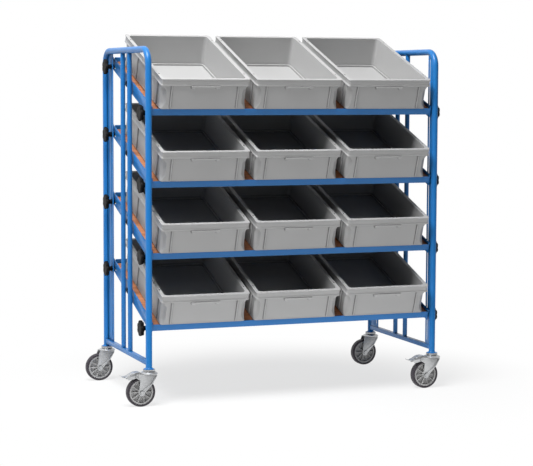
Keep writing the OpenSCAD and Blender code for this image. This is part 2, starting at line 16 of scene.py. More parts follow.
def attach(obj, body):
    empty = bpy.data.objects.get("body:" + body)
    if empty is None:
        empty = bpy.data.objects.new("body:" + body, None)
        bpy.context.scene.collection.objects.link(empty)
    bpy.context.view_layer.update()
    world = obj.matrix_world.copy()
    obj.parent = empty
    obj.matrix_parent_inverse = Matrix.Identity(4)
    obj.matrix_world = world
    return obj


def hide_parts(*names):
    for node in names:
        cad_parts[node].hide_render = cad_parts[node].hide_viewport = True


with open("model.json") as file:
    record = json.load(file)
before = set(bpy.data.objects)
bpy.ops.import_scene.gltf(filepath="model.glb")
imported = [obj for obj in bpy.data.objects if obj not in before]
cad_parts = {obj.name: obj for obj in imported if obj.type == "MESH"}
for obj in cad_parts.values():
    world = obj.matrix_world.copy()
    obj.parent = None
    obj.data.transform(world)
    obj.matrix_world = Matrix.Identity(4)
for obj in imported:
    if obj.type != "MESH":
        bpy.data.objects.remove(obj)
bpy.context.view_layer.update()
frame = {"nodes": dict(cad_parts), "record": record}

nodes = frame["nodes"]

# %% [markdown]
# ## Places that the pieces share
# The solids are the truth, so the places and main sizes in this lesson repeat theirs, in metres.
# Mouldings that the solids show more plainly, such as bin walls, ribs and knobs, have their own.
# The posts of the two hoops mark the four corners of the cart. A shelf has its own axes:
# across, up the slope, and square to the deck. A shape could be built at its tilted place, but it
# is easier to build it level and let one matrix carry it there.

# %% Shared places
POST_X, POST_Y = 0.673, 0.340762
CORNERS = {
    "front_left": (-POST_X, -POST_Y), "rear_left": (-POST_X, POST_Y),
    "front_right": (POST_X, -POST_Y), "rear_right": (POST_X, POST_Y),
}
# The name of a side, its sign along X, and the turn that faces a fitting outwards there
SIDES = (("left", -1, math.pi), ("right", 1, 0.0))
TIERS = (1, 2, 3, 4)
TIER_STEP = 0.308
TILT = math.radians(19.6)
SHELF_FRONT_Y, TOP_SHELF_Z = -0.333687, 1.267


def tier_drop(tier):
    """How far a shelf lies below the top one."""
    return TIER_STEP * (tier - 1)


def shelf_place(tier):
    """Matrix that carries a shape from a shelf's own axes to its place on the cart."""
    front = (0, SHELF_FRONT_Y, TOP_SHELF_Z - tier_drop(tier))
    return Matrix.Translation(front) @ Matrix.Rotation(TILT, 4, "X")


print("shelf fronts at", [round(shelf_place(k).translation.z, 3) for k in TIERS])

# %% [markdown]
# ## Helpers that select and add
# An operator acts on everything that is selected. So each piece starts from an empty selection,
# and faces or edges are then chosen by where they are, the way one would click on them.
# These helpers do that, so that the cells further down show only the shaping.

# %% Helpers that select and add
TOLERANCE = 1e-5


def start_clean():
    """Leave edit mode and select nothing."""
    if bpy.context.mode != "OBJECT":
        bpy.ops.object.mode_set(mode="OBJECT")
    bpy.ops.object.select_all(action="DESELECT")


def activate(obj):
    """Select one object alone and make it the active one."""
    start_clean()
    bpy.context.view_layer.objects.active = obj
    obj.select_set(True)


def edit_all():
    """Open the active object in edit mode with everything selected."""
    bpy.ops.object.mode_set(mode="EDIT")
    bpy.ops.mesh.select_all(action="SELECT")


def choose(test, kind="FACE"):
    """In edit mode, select the faces, edges or vertices whose middle passes a test."""
    mesh = bpy.context.edit_object.data
    bpy.ops.mesh.select_mode(type=kind)
    bpy.ops.mesh.select_all(action="DESELECT")
    bm = bmesh.from_edit_mesh(mesh)
    parts = {"VERT": bm.verts, "EDGE": bm.edges, "FACE": bm.faces}[kind]
    for part in parts:
        ends = [part.co] if kind == "VERT" else [v.co for v in part.verts]
        if test(sum(ends, Vector()) / len(ends), part):
            part.select_set(True)
    bmesh.update_edit_mesh(mesh)


def empty_mesh(name):
    """A new mesh object in edit mode with nothing in it."""
    start_clean()
    bpy.ops.mesh.primitive_plane_add(size=1)
    made = bpy.context.object
    made.name = name
    edit_all()
    bpy.ops.mesh.delete(type="VERT")
    return made


# %% [markdown]
# ## Helpers that finish a shape
# A shape that repeats is modelled once, as a master, and copied to each place. Every copy gets its
# own mesh with its place in it, its finish, and the body that it rides on. Where a copy stands for
# a solid, that solid is hidden.

# %% Helpers that finish a shape
def apply_modifier(obj, kind, **settings):
    """Add a modifier with its settings and apply it at once."""
    activate(obj)
    modifier = obj.modifiers.new(kind.title(), kind)
    for key, value in settings.items():
        setattr(modifier, key, value)
    bpy.ops.object.modifier_apply(modifier=modifier.name)


def round_edges(obj, width, angle, **settings):
    """Round every edge that is sharper than an angle, given in degrees."""
    apply_modifier(obj, "BEVEL", width=width, segments=2, limit_method="ANGLE",
                   angle_limit=math.radians(angle), **settings)


def tidy(obj, angle=35, recalculate=True):
    """Merge doubles, point the faces outwards and smooth the shading up to an angle."""
    activate(obj)
    edit_all()
    bpy.ops.mesh.remove_doubles(threshold=TOLERANCE)
    if recalculate:
        bpy.ops.mesh.normals_make_consistent(inside=False)
    bpy.ops.object.mode_set(mode="OBJECT")
    bpy.ops.object.shade_smooth_by_angle(angle=math.radians(angle))


def dress(piece, body, slot, hides=()):
    """Give a piece the finish of its slot, let it ride on a body, and hide what it stands for."""
    piece.data.materials.clear()
    piece.data.materials.append(SLOT_FINISH[slot])
    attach(piece, body)
    if hides:
        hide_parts(*hides)


def place(master, name, matrix, body, slot, hides=()):
    """Copy a finished shape with its own mesh, set it in place and dress it."""
    activate(master)
    bpy.ops.object.duplicate(linked=False)
    piece = bpy.context.object
    piece.name = piece.data.name = name
    piece.matrix_world = matrix
    bpy.ops.object.transform_apply(location=True, rotation=True, scale=True)
    dress(piece, body, slot, hides)


def discard(*masters):
    """Remove master shapes once their copies are placed."""
    for master in masters:
        bpy.data.objects.remove(master, do_unlink=True)


# %% [markdown]
# ## Effects that several finishes share
# Paint, plastic, zinc and rubber all vary a little over their surface and have a fine texture, and
# all get painted shade in their corners. Every material could repeat the nodes for that. Here each
# effect is built once as a node group with named sockets, and every finish gives it its own values.
# These helpers add groups and nodes.

# %% Helpers for shader nodes
COLOUR, VALUE, VECTOR = "NodeSocketColor", "NodeSocketFloat", "NodeSocketVector"
MID_GREY = (0.5, 0.5, 0.5, 1)


def new_group(name, inputs, outputs):
    """Make an empty shader group with the given sockets."""
    group = bpy.data.node_groups.new(name, "ShaderNodeTree")
    for label, kind, value in inputs:
        socket = group.interface.new_socket(name=label, in_out="INPUT", socket_type=kind)
        socket.default_value = value
    for label, kind in outputs:
        group.interface.new_socket(name=label, in_out="OUTPUT", socket_type=kind)
    return group, group.nodes.new("NodeGroupInput"), group.nodes.new("NodeGroupOutput")


def node(tree, kind, **settings):
    """Add a node and set its properties."""
    made = tree.nodes.new(kind)
    for key, value in settings.items():
        setattr(made, key, value)
    return made


def map_range(tree, source, target, **settings):
    """Add a Map Range node that carries the first span of values to the second."""
    made = node(tree, "ShaderNodeMapRange", **settings)
    made.inputs["From Min"].default_value, made.inputs["From Max"].default_value = source
    made.inputs["To Min"].default_value, made.inputs["To Max"].default_value = target
    return made


# %% [markdown]
# ## Mottle
# No coat of paint and no moulding has quite the same tone all over. A slow noise mixes two close
# colours and two levels of roughness. It reads Object coordinates, so that it stays on the piece.

# %% Mottle group
NOISE_SPAN = (0.3, 0.7)


def mottle_group():
    """Slow change between two colours and between two levels of roughness."""
    group, given, out = new_group(
        "Mottle",
        [("Colour A", COLOUR, MID_GREY), ("Colour B", COLOUR, MID_GREY), ("Scale", VALUE, 8.0),
         ("Rough Low", VALUE, 0.3), ("Rough High", VALUE, 0.5)],
        [("Colour", COLOUR), ("Roughness", VALUE)],
    )
    link = group.links.new
    coords = node(group, "ShaderNodeTexCoord")
    noise = node(group, "ShaderNodeTexNoise")
    noise.inputs["Detail"].default_value = 6
    noise.inputs["Roughness"].default_value = 0.6
    mix = node(group, "ShaderNodeMix", data_type="RGBA")
    # The two levels that this spreads to come from the group's own inputs
    rough = map_range(group, NOISE_SPAN, (0.0, 1.0))
    link(coords.outputs["Object"], noise.inputs["Vector"])
    link(given.outputs["Scale"], noise.inputs["Scale"])
    link(noise.outputs["Fac"], mix.inputs["Factor"])
    link(given.outputs["Colour A"], mix.inputs["A"])
    link(given.outputs["Colour B"], mix.inputs["B"])
    link(noise.outputs["Fac"], rough.inputs["Value"])
    link(given.outputs["Rough Low"], rough.inputs["To Min"])
    link(given.outputs["Rough High"], rough.inputs["To Max"])
    link(mix.outputs["Result"], out.inputs["Colour"])
    link(rough.outputs["Result"], out.inputs["Roughness"])
    return group


MOTTLE = mottle_group()
print("effect:", MOTTLE.name)

# %% [markdown]
# ## Fine grain
# Sprayed paint and moulded plastic have a texture that is felt more than seen. Modelling it would
# take millions of faces, so a fine noise tilts the normal through a Bump node instead.

# %% Fine grain group
def grain_group():
    """Fine moulded or sprayed texture, given out as a normal."""
    group, given, out = new_group(
        "Fine grain",
        [("Scale", VALUE, 600.0), ("Strength", VALUE, 0.1), ("Depth", VALUE, 0.0002)],
        [("Normal", VECTOR)],
    )
    link = group.links.new
    coords = node(group, "ShaderNodeTexCoord")
    noise = node(group, "ShaderNodeTexNoise")
    noise.inputs["Detail"].default_value = 3
    bump = node(group, "ShaderNodeBump")
    link(coords.outputs["Object"], noise.inputs["Vector"])
    link(given.outputs["Scale"], noise.inputs["Scale"])
    link(noise.outputs["Fac"], bump.inputs["Height"])
    link(given.outputs["Strength"], bump.inputs["Strength"])
    link(given.outputs["Depth"], bump.inputs["Distance"])
    link(bump.outputs["Normal"], out.inputs["Normal"])
    return group


GRAIN = grain_group()
print("effect:", GRAIN.name)

# %% [markdown]
# ## Painted shade in crevices
# Shade gathers where surfaces meet, and here it is painted into the colour. Dark lines could be
# drawn there, but the Ambient Occlusion node finds such places by itself: it tells how open the
# surface is within a short reach.

# %% Painted shade group
OPENNESS_SPAN, BRIGHTNESS_SPAN = (0.35, 0.95), (0.25, 1.0)


def painted_shade_group():
    """Painted shade: darkens a colour where another surface lies within a short reach."""
    group, given, out = new_group(
        "Painted shade",
        [("Colour", COLOUR, MID_GREY), ("Reach", VALUE, 0.01)],
        [("Colour", COLOUR)],
    )
    link = group.links.new
    # Painted shade: the colour gets darker where the surface is closed in by other surfaces
    openness = node(group, "ShaderNodeAmbientOcclusion", samples=8)
    depth = map_range(group, OPENNESS_SPAN, BRIGHTNESS_SPAN)
    shade = node(group, "ShaderNodeMix", data_type="RGBA", blend_type="MULTIPLY")
    shade.inputs["Factor"].default_value = 1.0
    link(given.outputs["Reach"], openness.inputs["Distance"])
    link(openness.outputs["AO"], depth.inputs["Value"])
    link(given.outputs["Colour"], shade.inputs["A"])
    link(depth.outputs["Result"], shade.inputs["B"])
    link(shade.outputs["Result"], out.inputs["Colour"])
    return group


PAINTED_SHADE = painted_shade_group()
print("effect:", PAINTED_SHADE.name)

# %% [markdown]
# ## Finishes
# Six finishes are made the same way: gloss blue paint, grey bin plastic, black knob plastic, zinc
# plate, wheel plastic and tyre rubber. A value that is the same all over is set on the shader
# itself. What changes over the surface comes from the groups. The wood follows in its own cell.

# %% Finish builder
COAT_ROUGHNESS = 0.12


def finish(name, colours, mottle, rough, grain, metallic=0.0, coat=0.0, specular=0.5, reach=0.008):
    """A material from two colours, a mottle scale, a roughness range and a grain."""
    material = bpy.data.materials.new(name)
    material.use_nodes = True
    tree = material.node_tree
    shader = tree.nodes["Principled BSDF"]
    shader.inputs["Metallic"].default_value = metallic
    shader.inputs["Coat Weight"].default_value = coat
    shader.inputs["Coat Roughness"].default_value = COAT_ROUGHNESS
    shader.inputs["Specular IOR Level"].default_value = specular
    tone = node(tree, "ShaderNodeGroup", node_tree=MOTTLE)
    for label, value in zip(("Colour A", "Colour B"), colours):
        tone.inputs[label].default_value = (*value, 1)
    tone.inputs["Scale"].default_value = mottle
    tone.inputs["Rough Low"].default_value, tone.inputs["Rough High"].default_value = rough
    texture = node(tree, "ShaderNodeGroup", node_tree=GRAIN)
    for label, value in zip(("Scale", "Strength", "Depth"), grain):
        texture.inputs[label].default_value = value
    # Painted shade: the base colour is darkened where other surfaces lie within the reach
    painted_shade = node(tree, "ShaderNodeGroup", node_tree=PAINTED_SHADE)
    painted_shade.inputs["Reach"].default_value = reach
    tree.links.new(tone.outputs["Colour"], painted_shade.inputs["Colour"])
    tree.links.new(painted_shade.outputs["Colour"], shader.inputs["Base Color"])
    tree.links.new(tone.outputs["Roughness"], shader.inputs["Roughness"])
    tree.links.new(texture.outputs["Normal"], shader.inputs["Normal"])
    return material


# %% [markdown]
# ## The six finishes
# The blue is a gloss paint with a thin clear coat. The bins are a mid grey with a dull sheen, and
# the knobs nearly black with little shine. Zinc is a metal with a soft, cloudy reflection.
# The grain is given as its scale, its strength and its depth in metres.

# %% The six finishes
# The reach of each finish is how far its painted shade near other surfaces spreads, in metres
BLUE = finish(
    "blue_paint", colours=((0.013, 0.150, 0.425), (0.017, 0.160, 0.45)), mottle=9,
    rough=(0.28, 0.40), grain=(350, 0.08, 0.0003), coat=0.08, specular=0.32,
)
GREY = finish(
    "bin_plastic", colours=((0.37, 0.37, 0.37), (0.41, 0.41, 0.41)), mottle=6,
    rough=(0.42, 0.55), grain=(900, 0.12, 0.0002), reach=0.006,
)
BLACK = finish(
    "knob_plastic", colours=((0.005, 0.005, 0.0055), (0.009, 0.009, 0.0095)), mottle=30,
    rough=(0.45, 0.60), grain=(1400, 0.15, 0.0002), specular=0.08,
)
ZINC = finish(
    "zinc_plate", colours=((0.62, 0.63, 0.64), (0.46, 0.47, 0.48)), mottle=12,
    rough=(0.34, 0.46), grain=(300, 0.03, 0.00005), metallic=0.8, reach=0.014,
)
HUB = finish(
    "wheel_plastic", colours=((0.34, 0.34, 0.34), (0.38, 0.38, 0.38)), mottle=40,
    rough=(0.42, 0.58), grain=(1200, 0.15, 0.0002), reach=0.001,
)
RUBBER = finish(
    "tyre_rubber", colours=((0.026, 0.021, 0.030), (0.038, 0.031, 0.040)), mottle=40,
    rough=(0.5, 0.7), grain=(1500, 0.3, 0.0002),
)
print("finishes:", [m.name for m in (BLUE, GREY, BLACK, ZINC, HUB, RUBBER)])

# %% [markdown]
# ## Wood for the decks
# The decks are sealed boards with an even orange-brown tone, and their underside is painted dark as
# shade, so that it throws little light into the bins below. The grain runs across the cart. A picture
# of wood would do, but a noise that is stretched along X gives long streaks that never repeat. The
# underside is found by its normal, which points down.

# %% Colour of the wood
STREAK_STRETCH = (2.2, 38, 38)
STREAK_STOPS = ((0.30, (0.36, 0.125, 0.05, 1)), (0.72, (0.58, 0.235, 0.11, 1)))
UNDERSIDE_SHADE = (0.03, 0.028, 0.026, 1)
FACES_DOWN = -0.5


def wood_streaks(tree):
    """A noise that is drawn out along the boards."""
    coords = node(tree, "ShaderNodeTexCoord")
    stretch = node(tree, "ShaderNodeMapping")
    stretch.inputs["Scale"].default_value = STREAK_STRETCH
    streaks = node(tree, "ShaderNodeTexNoise")
    streaks.inputs["Scale"].default_value = 1.6
    streaks.inputs["Detail"].default_value = 8
    streaks.inputs["Distortion"].default_value = 0.4
    tree.links.new(coords.outputs["Object"], stretch.inputs["Vector"])
    tree.links.new(stretch.outputs["Vector"], streaks.inputs["Vector"])
    return streaks.outputs["Fac"]


def wood_colour(tree, streaks):
    """Brown streaks on top and at the edges, and painted shade where the board faces down."""
    ramp = node(tree, "ShaderNodeValToRGB")
    for stop, (position, colour) in zip(ramp.color_ramp.elements, STREAK_STOPS):
        stop.position = position
        stop.color = colour
    # Painted shade: faces that point down get a near-black colour instead of the wood
    facing = node(tree, "ShaderNodeNewGeometry")
    parts = node(tree, "ShaderNodeSeparateXYZ")
    below = node(tree, "ShaderNodeMath", operation="LESS_THAN")
    below.inputs[1].default_value = FACES_DOWN
    shaded_below = node(tree, "ShaderNodeMix", data_type="RGBA")
    shaded_below.inputs["B"].default_value = UNDERSIDE_SHADE
    tree.links.new(streaks, ramp.inputs["Fac"])
    tree.links.new(facing.outputs["Normal"], parts.inputs["Vector"])
    tree.links.new(parts.outputs["Z"], below.inputs[0])
    tree.links.new(below.outputs["Value"], shaded_below.inputs["Factor"])
    tree.links.new(ramp.outputs["Color"], shaded_below.inputs["A"])
    return shaded_below.outputs["Result"]


# %% [markdown]
# ## Seal on the wood
# A sealed board has a thin clear coat, through which its streaks are still felt. They could be
# modelled, but the noise that colours the wood can also drive the roughness and a slight bump, so
# that all three agree.

# %% Wood finish
def wood_finish():
    """Sealed wood for the decks."""
    material = bpy.data.materials.new("deck_wood")
    material.use_nodes = True
    tree = material.node_tree
    shader = tree.nodes["Principled BSDF"]
    shader.inputs["Coat Weight"].default_value = 0.15
    streaks = wood_streaks(tree)
    rough = map_range(tree, (0.0, 1.0), (0.36, 0.52))
    bump = node(tree, "ShaderNodeBump")
    bump.inputs["Strength"].default_value = 0.15
    bump.inputs["Distance"].default_value = 0.0004
    tree.links.new(wood_colour(tree, streaks), shader.inputs["Base Color"])
    tree.links.new(streaks, rough.inputs["Value"])
    tree.links.new(rough.outputs["Result"], shader.inputs["Roughness"])
    tree.links.new(streaks, bump.inputs["Height"])
    tree.links.new(bump.outputs["Normal"], shader.inputs["Normal"])
    return material


WOOD = wood_finish()
print("finish:", WOOD.name)

# %% [markdown]
# ## Finishes on the solids
# Each solid first gets the finish of its slot. Infill bars, castor stems, axles and the rear clamp
# hardware have the right shape already and stay as they are. The hardware between plate and knob
# is black on this cart. The other solids are hidden further down by the pieces made for them.

# %% Dress the solids
SLOT_FINISH = {
    "frame_blue": BLUE, "bin_grey": GREY, "deck_wood": WOOD, "knob_black": BLACK,
    "zinc": ZINC, "wheel_grey": HUB, "tyre": RUBBER,
}
for entry in frame["record"]["subparts"]:
    solid = nodes[entry["node"]]
    solid.data.materials.clear()
    solid.data.materials.append(SLOT_FINISH[entry["material_slot"]])
for tier in TIERS:
    nodes[f"rear_clamps_{tier}"].data.materials[0] = BLACK

# %% [markdown]
# ## Bins
# A stacking bin is one moulded shell. It could be cut from a block, but its walls are all rings
# of the same kind, so it is quicker to lay one ring per level and bridge each to the next.
# A ring is a plane whose corners are bevelled twice: once for their shape and once to soften it.
# A round profile gives the foot and the rim, and a hollow one the flutes down the corners.
# Each ring below says how far it lies inside the bin's outline, its height, the radius of its
# corners and their profile.

# %% The rings of a bin
BIN_WIDTH, BIN_DEPTH = 0.400, 0.600
WALL_INSET = 0.0070
ROUND, HOLLOW = 0.5, 0.18
CORNER_SOFTENING = {ROUND: 0.3, HOLLOW: 0.06}
STACKING_FOOT = [(0.0220, 0.0000, 0.0120, ROUND), (0.0220, 0.0054, 0.0120, ROUND)]
LOWER_EDGE = [(0.0060, 0.0058, 0.0090, ROUND), (0.0060, 0.0092, 0.0090, ROUND)]
WALL = [
    (WALL_INSET, 0.0112, 0.0090, ROUND), (WALL_INSET, 0.0330, 0.0215, HOLLOW),
    (WALL_INSET, 0.0880, 0.0215, HOLLOW), (WALL_INSET, 0.1075, 0.0090, ROUND),
    (WALL_INSET, 0.1300, 0.0090, ROUND),
]
BACK_OF_BAND = [(0.0046, 0.1294, 0.0080, ROUND), (0.0046, 0.1102, 0.0080, ROUND)]
ROLLED_LIP = [
    (0.0030, 0.1096, 0.0080, ROUND), (0.0007, 0.1107, 0.0085, ROUND),
    (0.0000, 0.1128, 0.0085, ROUND), (0.0000, 0.1152, 0.0085, ROUND),
    (0.0023, 0.1198, 0.0080, ROUND),
]
RIM_BAND = [
    (0.0028, 0.1207, 0.0080, ROUND), (0.0024, 0.1217, 0.0080, ROUND),
    (0.0022, 0.1366, 0.0080, ROUND),
]
RIM_TOP = [(0.0000, 0.1376, 0.0085, ROUND), (0.0000, 0.1425, 0.0085, ROUND)]
INSIDE = [
    (0.0160, 0.1421, 0.0130, ROUND), (0.0160, 0.0124, 0.0150, ROUND),
    (0.0230, 0.0118, 0.0110, ROUND), (0.0230, 0.0040, 0.0110, ROUND),
]
OUTSIDE = STACKING_FOOT + LOWER_EDGE + WALL + BACK_OF_BAND + ROLLED_LIP + RIM_BAND + RIM_TOP
BIN_RINGS = OUTSIDE + INSIDE
print("a bin has", len(BIN_RINGS), "rings")

# %% [markdown]
# ## Shell of a bin
# All rings are laid in one mesh. Only the first and the last keep their face, as the underside and
# the floor of the bin. After each new ring, the edges of the last two are chosen by their height
# and bridged.

# %% The shell of a bin
def lies_at(edge, heights):
    """Whether an edge lies level at one of the heights."""
    return any(all(abs(v.co.z - h) < TOLERANCE for v in edge.verts) for h in heights)


def add_ring(inset, height, radius, profile):
    """Add a rectangle inside the bin's outline and shape its corners."""
    size = (BIN_WIDTH - 2 * inset, BIN_DEPTH - 2 * inset, 1)
    bpy.ops.mesh.primitive_plane_add(size=1, location=(0, 0, height))
    bpy.ops.transform.resize(value=size, center_override=(0, 0, height))
    bpy.ops.mesh.bevel(offset=radius, segments=2, profile=profile, affect="VERTICES")
    softening = CORNER_SOFTENING[profile] * radius
    bpy.ops.mesh.bevel(offset=softening, segments=3, profile=ROUND, affect="VERTICES")


def make_bin_shell():
    """Lay the rings in one mesh and bridge each to the next."""
    shell = empty_mesh("bin_shell")
    for level, (inset, height, radius, profile) in enumerate(BIN_RINGS):
        add_ring(inset, height, radius, profile)
        if level not in (0, len(BIN_RINGS) - 1):
            bpy.ops.mesh.delete(type="ONLY_FACE")
        if level:
            pair = (BIN_RINGS[level - 1][1], height)
            choose(lambda middle, edge: lies_at(edge, pair), "EDGE")
            bpy.ops.mesh.bridge_edge_loops()
    bpy.ops.object.mode_set(mode="OBJECT")
    return shell


bin_shell = make_bin_shell()
tidy(bin_shell)
print("bin shell:", len(bin_shell.data.vertices), "points,", len(bin_shell.data.polygons), "faces")

# %% [markdown]
# ## Ribs of a bin
# Below the rim band the wall carries thin upright ribs. They could be extruded from the wall, but
# it has no edges at those places. So each rib is a box in an extra mesh, a little sunk into the
# wall, and is joined to the shell later.

# %% Ribs
RIB_HALF, RIB_SUNK, RIB_PROUD = 0.003, 0.002, 0.0062
RIB_LOW, RIB_HIGH = 0.0100, 0.1118
END_RIBS, SIDE_RIBS = (-0.149, 0.149), (-0.236, -0.079, 0.079, 0.236)


def add_box(low, high):
    """In edit mode, add a box between two corners. It stays selected."""
    middle = [(a + b) / 2 for a, b in zip(low, high)]
    size = [b - a for a, b in zip(low, high)]
    bpy.ops.mesh.primitive_cube_add(size=1, location=middle)
    bpy.ops.transform.resize(value=size, center_override=middle)


def add_rib(side, on_end, along):
    """One rib on an end wall or a side wall, standing out below the rim band."""
    wall = (BIN_DEPTH if on_end else BIN_WIDTH) / 2 - WALL_INSET
    near, far = sorted((side * (wall - RIB_SUNK), side * (wall + RIB_PROUD)))
    if on_end:
        add_box((along - RIB_HALF, near, RIB_LOW), (along + RIB_HALF, far, RIB_HIGH))
    else:
        add_box((near, along - RIB_HALF, RIB_LOW), (far, along + RIB_HALF, RIB_HIGH))


# %% [markdown]
# ## Grip lips of a bin
# Each end has a lip to lift the bin by, with a small tab below each end of the lip. They join the
# mesh of the ribs as boxes. The lower face of a tab is chosen by its place and made smaller, which
# tapers the tab.

# %% Grip lips
GRIP_ROOT, GRIP_REACH = 0.2910, 0.3040
GRIP_HALF, GRIP_LOW, GRIP_HIGH = 0.065, 0.1055, 0.1120
TAB_X, TAB_HALF, TAB_LOW, TAB_HIGH = 0.055, 0.010, 0.0975, 0.1070
TAB_TAPER = (0.6, 0.7, 1)
LEVEL_FACE = 0.9


def add_grip(side):
    """The grip lip of one end, with a tapered tab below each of its ends."""
    near, far = sorted((side * GRIP_ROOT, side * GRIP_REACH))
    add_box((-GRIP_HALF, near, GRIP_LOW), (GRIP_HALF, far, GRIP_HIGH))
    for end in (-1, 1):
        x = end * TAB_X
        add_box((x - TAB_HALF, near, TAB_LOW), (x + TAB_HALF, far, TAB_HIGH))
        choose(lambda middle, face: abs(middle.z - TAB_LOW) < TOLERANCE and middle.x * end > 0
               and middle.y * side > 0 and abs(face.normal.z) > LEVEL_FACE)
        bpy.ops.transform.resize(value=TAB_TAPER, center_override=(x, side * GRIP_ROOT, TAB_LOW))


def make_bin_fittings():
    """All ribs and grip lips of a bin in one mesh."""
    fittings = empty_mesh("bin_fittings")
    for side in (-1, 1):
        for x in END_RIBS:
            add_rib(side, True, x)
        for y in SIDE_RIBS:
            add_rib(side, False, y)
        add_grip(side)
    bpy.ops.object.mode_set(mode="OBJECT")
    return fittings


bin_fittings = make_bin_fittings()
print("bin fittings:", len(bin_fittings.data.polygons), "faces")

# %% [markdown]
# ## Hook holes, and the bin as one piece
# Four small holes go through the flange, one near each corner. They are cut by plain cylinders.
# A Bevel rounds shell and fittings first, while their edges are still clean. Then one Boolean joins
# them and another cuts the holes. Weighted normals keep the large flat walls flat in the light.

# %% Join the bin
HOLE_X, HOLE_Y, HOLE_Z = 0.1922, 0.228, 0.1320
HOLE_R, HOLE_LENGTH = 0.0042, 0.032
SHELL_ROUNDING, FITTING_ROUNDING = 0.0008, 0.0016


def make_hole_cutter():
    """Four upright cylinders that cut the hook holes."""
    cutter = empty_mesh("bin_holes")
    for x in (-HOLE_X, HOLE_X):
        for y in (-HOLE_Y, HOLE_Y):
            bpy.ops.mesh.primitive_cylinder_add(
                vertices=16, radius=HOLE_R, depth=HOLE_LENGTH, location=(x, y, HOLE_Z))
    bpy.ops.object.mode_set(mode="OBJECT")
    return cutter


bin_holes = make_hole_cutter()
tidy(bin_fittings)
for shape, width in ((bin_shell, SHELL_ROUNDING), (bin_fittings, FITTING_ROUNDING)):
    round_edges(shape, width, angle=40, use_clamp_overlap=False)
apply_modifier(bin_shell, "BOOLEAN", operation="UNION", solver="EXACT", object=bin_fittings, use_self=True)
apply_modifier(bin_shell, "BOOLEAN", operation="DIFFERENCE", solver="EXACT", object=bin_holes)
tidy(bin_shell, angle=40, recalculate=False)
apply_modifier(bin_shell, "WEIGHTED_NORMAL", weight=100, keep_sharp=True)
print("bin:", len(bin_shell.data.polygons), "faces")

# %% [markdown]
# ## Bins in place
# Three bins stand side by side on each shelf, a hair above the deck because they lift off. Copies
# could share one mesh, but each gets its own, which holds the bin's place as a solid's mesh does.

# %% Place the bins
COLUMNS, MIDDLE_COLUMN = (1, 2, 3), 2
BIN_PITCH, BIN_UP_SLOPE, BIN_CLEARANCE = 0.429, 0.290, 0.0003
for tier in TIERS:
    for column in COLUMNS:
        offset = ((column - MIDDLE_COLUMN) * BIN_PITCH, BIN_UP_SLOPE, BIN_CLEARANCE)
        spot = shelf_place(tier) @ Matrix.Translation(offset)
        solid_name = f"bin_{tier}_{column}"
        place(bin_shell, f"tote_{tier}_{column}", spot, solid_name, "bin_grey", [solid_name])
discard(bin_shell, bin_fittings, bin_holes)
print("placed", len(TIERS) * len(COLUMNS), "bins")

# %% [markdown]
# ## Hoops
# Each hoop is one tube, bent twice, with a flared collar at each foot. A curve with a round
# bevel would do, but extruding a ring up, spinning it round the bend and extruding it across
# shows how such a tube is really bent. The collar comes first, as shrinking rings, and the same
# rings are run through backwards at the far foot.

# %% A bent hoop
TUBE_R, BEND_R = 0.014, 0.065
TUBE_POINTS, BEND_STEPS = 32, 14
FOOT_Z, TOP_Z = 0.159, 1.539 - TUBE_R
BEND_Z = TOP_Z - BEND_R
# Height above the foot and radius of each ring of the collar
COLLAR = ((0.0, 0.024), (0.0015, 0.024), (0.0035, 0.0195), (0.0055, 0.0160), (0.0080, TUBE_R))
STRAIGHT = BEND_Z - FOOT_Z - COLLAR[-1][0]


def push(offset, scale=1.0, centre=(0, 0, 0)):
    """Extrude what is selected, then scale it about a centre in plan."""
    bpy.ops.mesh.extrude_region_move(TRANSFORM_OT_translate={"value": offset})
    if scale != 1.0:
        bpy.ops.transform.resize(value=(scale, scale, 1), center_override=centre)


def push_collar(rings, foot):
    """Extrude the collar of one foot, ring by ring."""
    for (last_z, last_radius), (z, radius) in zip(rings, rings[1:]):
        push((0, 0, z - last_z), radius / last_radius, foot)


def bend(x, y):
    """Carry the open end of the tube through a quarter turn."""
    bpy.ops.mesh.spin(steps=BEND_STEPS, angle=math.pi / 2, center=(x, y, BEND_Z), axis=(1, 0, 0))


def make_hoop(x):
    """One hoop from its front foot over the top to its rear foot."""
    front_foot, rear_foot = Vector((x, -POST_Y, FOOT_Z)), Vector((x, POST_Y, FOOT_Z))
    start_clean()
    bpy.ops.mesh.primitive_circle_add(
        vertices=TUBE_POINTS, radius=COLLAR[0][1], fill_type="NGON", location=front_foot)
    hoop = bpy.context.object
    bpy.ops.object.transform_apply(location=True)
    edit_all()
    push_collar(COLLAR, front_foot)
    push((0, 0, STRAIGHT))
    bend(x, BEND_R - POST_Y)
    push((0, 2 * (POST_Y - BEND_R), 0))
    bend(x, POST_Y - BEND_R)
    push((0, 0, -STRAIGHT))
    push_collar(COLLAR[::-1], rear_foot)
    tidy(hoop, angle=40)
    return hoop


for side, sign, _ in SIDES:
    hoop = make_hoop(sign * POST_X)
    place(hoop, f"{side}_bent_hoop", Matrix.Identity(4), "end_frames", "frame_blue", [f"{side}_hoop"])
    highest = max(v.co.z for v in hoop.data.vertices)
    print(side, "hoop:", len(hoop.data.polygons), "faces, top at", round(highest, 4))
    discard(hoop)

# %% [markdown]
# ## Helpers for round fittings
# Knobs and plugs are turned shapes that lie along X. Both start as a disc and grow by extruding it
# in rings that swell and shrink. The step along the axis and the growth of each ring are all
# that such a shape needs.

# %% Helpers for round fittings
def add_disc(points, radius, x):
    """A new disc that faces along X, open in edit mode with everything selected."""
    start_clean()
    bpy.ops.mesh.primitive_circle_add(
        vertices=points, radius=radius, fill_type="NGON", rotation=(0, math.pi / 2, 0))
    disc = bpy.context.object
    bpy.ops.object.transform_apply(location=True, rotation=True)
    disc.data.transform(Matrix.Translation((x, 0, 0)))
    edit_all()
    return disc


